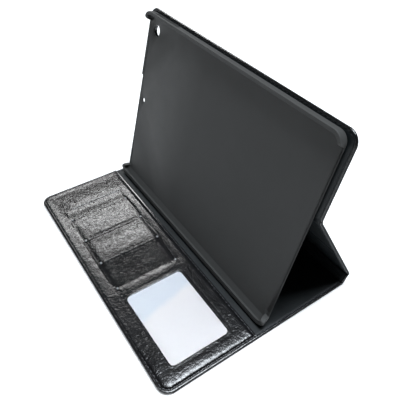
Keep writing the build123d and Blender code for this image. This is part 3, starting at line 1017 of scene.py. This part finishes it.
def slot_leaf(index):
    """One leather leaf: turned, bowed mouth that lifts a little between its tacks."""
    mouth, y_limits = SLOT_MOUTHS[index], wider(RECESS_Y, 2.0)
    reach = lines(0, STACK_END - mouth, 0.8, [(1.2, 1.2, 0.12)])[None, :]
    y = np.repeat(lines(*y_limits, 0.8)[:, None], reach.size, 1)
    across = np.clip((y - RECESS_Y[0]) / (RECESS_Y[1] - RECESS_Y[0]), 0, 1)
    bulge = 4 * across * (1 - across)
    bow = LEAF_BOWS[index] * bulge + 0.5 * ripple(y, 0, 16.0, 2.0 + index)
    x = mouth + reach + bow * np.exp(-reach / 7)
    round_off = 1 - quarter_round(reach / 0.7)
    top = leaf_top(index, x, y, reach, bulge) - 0.2 * round_off
    thick = 0.26 - 0.1 * smooth((x - SLOT_MOUTHS[2]) / SLANT_RUN)
    bottom = top - thick + 0.12 * round_off
    piece = slab_object(f"slot_leaf_{index + 1}", np.stack([x, y, bottom], -1),
                        np.stack([x, y, top], -1), leaf_hide)
    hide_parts(f"card_slot_leaf_{index + 1}")
    dress(piece, "front_cover")


for number in range(3):
    slot_leaf(number)

# --- window ---
CARD_TOP, CARD_THICKNESS, CARD_OVERLAP = 4.12, 0.2, 1.5
FILM_TOP, FILM_THICKNESS, FILM_OVERLAP = 4.42, 0.12, 0.6
FILM_SAG = 0.06


def rounded_ring(x_limits, y_limits, radius, shrink):
    """Rounded rectangle, this much smaller all round."""
    middle = np.array([sum(x_limits) / 2, sum(y_limits) / 2])
    half = np.array([x_limits[1], y_limits[1]]) - middle
    now = max(radius - shrink, 0.3)
    ring = []
    for number, way in enumerate([(1, 1), (-1, 1), (-1, -1), (1, -1)]):
        centre = middle + np.array(way) * (half - shrink - now)
        ring += arc(centre, now, 90 * number, 90 * number + 90, 9)
    return np.array(ring)


def window_sheet(name, overlap, thickness, top, material, sag=0.0):
    """Thin sheet behind the window, with rounded corners and softly rounded edges."""
    limits = wider(WINDOW_X, overlap), wider(WINDOW_Y, overlap), WINDOW_CORNER + overlap
    shrinks = (0.0, 0.05, 0.5, 2.0, 5.0, 10.0, 16.0, 22.0, 26.0)
    rings = [rounded_ring(*limits, shrink) for shrink in shrinks]
    below = [np.column_stack([ring, np.full(len(ring), top - thickness)]) for ring in rings[::-1]]
    above = [np.column_stack([ring, top + sag * ripple(ring[:, 0], ring[:, 1], 22.0, 0.7)])
             for ring in rings]
    above[0][:, 2] -= 0.03
    faces = ring_faces(2 * len(rings), len(rings[0]))
    return new_object(name, np.concatenate(below + above), faces, material)


window_card = window_sheet("window_card", CARD_OVERLAP, CARD_THICKNESS, CARD_TOP, card_material())
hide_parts("window_insert")
dress(window_card, "front_cover")
window_film = window_sheet("window_clear_film", FILM_OVERLAP, FILM_THICKNESS, FILM_TOP,
                           film_material(), FILM_SAG)
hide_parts("window_film")
dress(window_film, "front_cover")

# --- stitching ---
STITCH = (3.0, 0.75, 0.5)           # length, width and height of a stitch
EDGE_STITCH = (2.9, 0.6, 0.4)
TACK = (2.0, 0.9, 0.8)
STITCH_RINGS, STITCH_AROUND = 9, 8


def stitch_shape(length, width, height):
    """One stitch: a strand that dives into the leather at both ends, with its own twist."""
    points = []
    for way in (-1 + 2 * k / (STITCH_RINGS - 1) for k in range(STITCH_RINGS)):
        swell = math.sqrt(max(1 - way ** 4, 0.0)) * 0.92 + 0.08
        drop = -height * 0.9 * way ** 4
        for turn in (2 * math.pi * a / STITCH_AROUND + way * 0.8 for a in range(STITCH_AROUND)):
            points.append((way * length / 2, width / 2 * swell * math.cos(turn),
                           drop + height / 2 * swell * math.sin(turn)))
    return np.array(points)


def stitches(name, spots, size, material):
    """Stitches at spots, each a (centre, along, outward) in world millimetres."""
    shape, shape_faces = stitch_shape(*size), ring_faces(STITCH_RINGS, STITCH_AROUND)
    points, faces = [], []
    for number, (centre, along, outward) in enumerate(spots):
        along, outward = unit(np.array(along)), unit(np.array(outward))
        side = np.cross(outward, along)
        slant = 0.06 + 0.05 * math.sin(number * 2.4)
        along = along * math.cos(slant) + side * math.sin(slant)
        side = np.cross(outward, along)
        grow = 1 + 0.06 * math.sin(number * 5.1)
        offset = number * len(shape)
        points.append(np.array(centre) + grow * shape[:, :1] * along + shape[:, 1:2] * side
                      + shape[:, 2:] * outward)
        faces += [tuple(i + offset for i in face) for face in shape_faces]
    return new_object(name, np.concatenate(points), faces, material)


def walk(*corners):
    """Spots along a line of corners, its inner corners rounded, one stitch pitch apart."""
    radius = CORNER_RADIUS - STITCH_INSET
    corners = [np.array(corner, float) for corner in corners]
    dense = [corners[0]]
    for before, here, after in zip(corners, corners[1:], corners[2:]):
        into, out = unit(here - before), unit(after - here)
        centre = here - into * radius + out * radius
        dense += [centre + radius * (math.sin(t) * into - math.cos(t) * out)
                  for t in np.linspace(0, math.pi / 2, 24)]
    dense = np.array(dense + [corners[-1]])
    steps = np.linalg.norm(np.diff(dense, axis=0), axis=1)
    lengths = np.concatenate([[0], np.cumsum(steps)])
    count = int(lengths[-1] / STITCH_PITCH)
    found = []
    for k in range(count):
        middle = (k + 0.5) * lengths[-1] / count
        ends = [np.array([np.interp(middle + step, lengths, dense[:, axis]) for axis in (0, 1)])
                for step in (-0.6, 0.6)]
        found.append(((ends[0] + ends[1]) / 2, ends[1] - ends[0]))
    return found


def around_end(side, start, end):
    """Row that runs down one side of the cover, along its free edge and back up the other."""
    return walk((-side, start), (-side, end), (side, end), (side, start))


def both_sides(side, start, end):
    """A straight row along each side of the cover."""
    return walk((-side, start), (-side, end)) + walk((side, start), (side, end))


def on_cover(spots, depth, outward=1):
    """Turns (x, s) spots into world spots at this depth."""
    result = []
    for (x, s), (dx, ds) in spots:
        here = cover.world(x, s, depth)
        ahead = cover.world(x + dx * 0.1, s + ds * 0.1, depth)
        up = cover.world(x, s, depth + 1) - here
        result.append((here, ahead - here, up * outward))
    return result


def stitch_row(name, spots, body, node=None, size=STITCH, material=thread):
    """A finished row of stitches, in place of a CAD node where there is one."""
    piece = stitches(name, spots, size, material)
    if node:
        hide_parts(node)
    dress(piece, body)


side_x = HALF_LENGTH - STITCH_INSET
edge_x = HALF_LENGTH - 2 * STITCH_INSET
pocket_s = POCKET_EDGE - front_y
front_stop = FRONT_WIDTH - HINGE_REACH - 2
lower_start, lower_stop = sum(cover.bends[1]) + 2, cover.bends[2][0] - cover.bends[2][1] - 2
upper_start, upper_stop = sum(cover.bends[2]) + 2, cover.length - STITCH_INSET
groove_level = POCKET_BASE + POCKET_SHEET - GROOVE_DEPTH + STITCH[2] * 0.45
lining_level = COVER - GROOVE_DEPTH + LINING_RAISE / 2 + STITCH[2] * 0.42
outside_level = STITCH[2] / 2 + 0.02


def front_stitching():
    """Rows on the front cover: around the pocket, on the outer face, beside the lining, along
    the pocket's hinge-side edge."""
    pocket_row = around_end(side_x, pocket_s - 2 * EDGE_STITCH_INSET, STITCH_INSET)
    outer_row = around_end(side_x, front_stop, STITCH_INSET)
    lining_rows = both_sides(side_x, pocket_s + 3, front_stop)
    edge_s = pocket_s - EDGE_STITCH_INSET
    edge_row = walk((-edge_x, edge_s), (edge_x, edge_s))
    stitch_row("pocket_stitch_row", on_cover(pocket_row, groove_level), "front_cover",
               "pocket_stitching")
    stitch_row("front_outer_stitch_row", on_cover(outer_row, outside_level, -1), "front_cover")
    stitch_row("front_lining_stitch_rows", on_cover(lining_rows, lining_level), "front_cover")
    stitch_row("pocket_edge_stitch_row", on_cover(edge_row, groove_level + 0.03), "front_cover",
               "pocket_edge_stitching", EDGE_STITCH)


def back_stitching():
    """Rows on both faces of the lower and the upper flap."""
    lower_rows = both_sides(side_x, lower_start, lower_stop)
    upper_row = around_end(side_x, upper_start, upper_stop)
    for rows, part, body in ((lower_rows, "lower", "lower_flap"),
                             (upper_row, "upper", "tray_and_upper_flap")):
        name = f"{part}_stitch_rows"
        spots = on_cover(rows, lining_level) + on_cover(rows, outside_level, -1)
        stitch_row(name, spots, body, f"{part}_stitching", material=dull_thread)


def tack_stitching():
    """Pairs of tacks at both ends of every slot's mouth."""
    spots = []
    for number, mouth in enumerate(SLOT_MOUTHS):
        level = POCKET_TOP - 0.35 if number == 3 else leaf_level(number, mouth) + 0.12
        for y in wider(RECESS_Y, -1.3):
            spots += [((mouth + 0.9, y + shift, level), (1, 0, 0), (0, 0, 1)) for shift in (-0.4, 0.4)]
    # the tacks' light grey thread colour is a painted glint on black thread
    stitch_row("slot_tack_threads", spots, "front_cover", "slot_tacks", TACK, tack_thread_painted_glint)


front_stitching()
back_stitching()
tack_stitching()

# --- materials of the CAD nodes that stay ---
greyboard = board_material()
kept_materials = {"front_board": greyboard, "spine_board": greyboard, "lower_board": greyboard,
                  "upper_board": greyboard, "tray_adhesive_pad": adhesive_material(),
                  "card_pocket_backing": lining}
for node, material in kept_materials.items():
    mesh = frame["nodes"][node].data
    mesh.materials.clear()
    mesh.materials.append(material)

# --- studio ---
CAMERA_PLACE = (0.25886, -0.15145, 0.32915)
CAMERA_AZIMUTH, CAMERA_ELEVATION, CAMERA_ROLL = 55.806, 42.788, 0.347
CAMERA_LENS, CAMERA_SENSOR, CAMERA_NEAR = 41.06, 36.0, 0.01
FLOOR_HALF, FLOOR_LEVEL = 6.0, -0.0002
SKY_FALL = (0.0, 0.22)              # the sky fades over this much of its height
SKY_STRENGTH = (0.35, 0.06)         # at the horizon and above the fade


def add_camera():
    """The photo's camera."""
    azimuth, elevation, roll = map(math.radians, (CAMERA_AZIMUTH, CAMERA_ELEVATION, CAMERA_ROLL))
    look = Vector((-math.sin(azimuth) * math.cos(elevation),
                   math.cos(azimuth) * math.cos(elevation), -math.sin(elevation)))
    level = Vector((math.cos(azimuth), math.sin(azimuth), 0))
    upright = level.cross(look)
    right = level * math.cos(roll) + upright * math.sin(roll)
    up = upright * math.cos(roll) - level * math.sin(roll)
    data = bpy.data.cameras.new("camera")
    data.lens, data.sensor_width, data.clip_start = CAMERA_LENS, CAMERA_SENSOR, CAMERA_NEAR
    camera = bpy.data.objects.new("camera", data)
    turn = Matrix((right, up, -look)).transposed().to_4x4()
    camera.matrix_world = Matrix.Translation(CAMERA_PLACE) @ turn
    bpy.context.scene.collection.objects.link(camera)
    bpy.context.scene.camera = camera


def add_light(name, place, target, size, power, colour=(1, 1, 1)):
    """Rectangular light that faces its target."""
    data = bpy.data.lights.new(name, "AREA")
    data.shape, data.size, data.size_y = "RECTANGLE", size[0], size[1]
    data.energy, data.color = power, colour
    light = bpy.data.objects.new(name, data)
    aim = (Vector(target) - Vector(place)).to_track_quat("-Z", "Y")
    light.matrix_world = Matrix.Translation(place) @ aim.to_matrix().to_4x4()
    bpy.context.scene.collection.objects.link(light)


def add_floor():
    """Pale floor that glows a little, so that it fades into the white around it."""
    n = Nodes("pale_floor")
    n.set(Base_Color=(0.93, 0.93, 0.93, 1), Roughness=0.9, Specular_IOR_Level=0.1,
          Emission_Color=(1, 1, 1, 1), Emission_Strength=0.2)
    mesh = bpy.data.meshes.new("floor")
    corners = [(x * FLOOR_HALF, y * FLOOR_HALF, FLOOR_LEVEL)
               for x, y in ((-1, -1), (1, -1), (1, 1), (-1, 1))]
    mesh.from_pydata(corners, [], [(0, 1, 2, 3)])
    linked_object("floor", mesh, n.material)


def add_world():
    """White surroundings, brightest at the horizon."""
    world = bpy.data.worlds.new("studio")
    world.use_nodes = True
    nodes, links = world.node_tree.nodes, world.node_tree.links
    background = nodes["Background"]
    background.inputs["Color"].default_value = (1, 1, 1, 1)
    direction, split = nodes.new("ShaderNodeTexCoord"), nodes.new("ShaderNodeSeparateXYZ")
    fall = nodes.new("ShaderNodeMapRange")
    for socket, value in zip(("From Min", "From Max", "To Min", "To Max"), SKY_FALL + SKY_STRENGTH):
        fall.inputs[socket].default_value = value
    links.new(direction.outputs["Generated"], split.inputs[0])
    links.new(split.outputs["Z"], fall.inputs["Value"])
    links.new(fall.outputs["Result"], background.inputs["Strength"])
    bpy.context.scene.world = world


add_camera()
add_floor()
add_world()
add_light("glare_panel", place=(-0.80, 0.27, 0.735), target=(-0.06, -0.04, 0), size=(0.5, 0.16),
          power=3.1)
add_light("top_panel", place=(0.16, 0.18, 1.45), target=(0.08, 0, 0), size=(0.5, 0.85), power=31,
          colour=(0.88, 0.94, 1.0))
bpy.context.scene.view_settings.view_transform = "Standard"
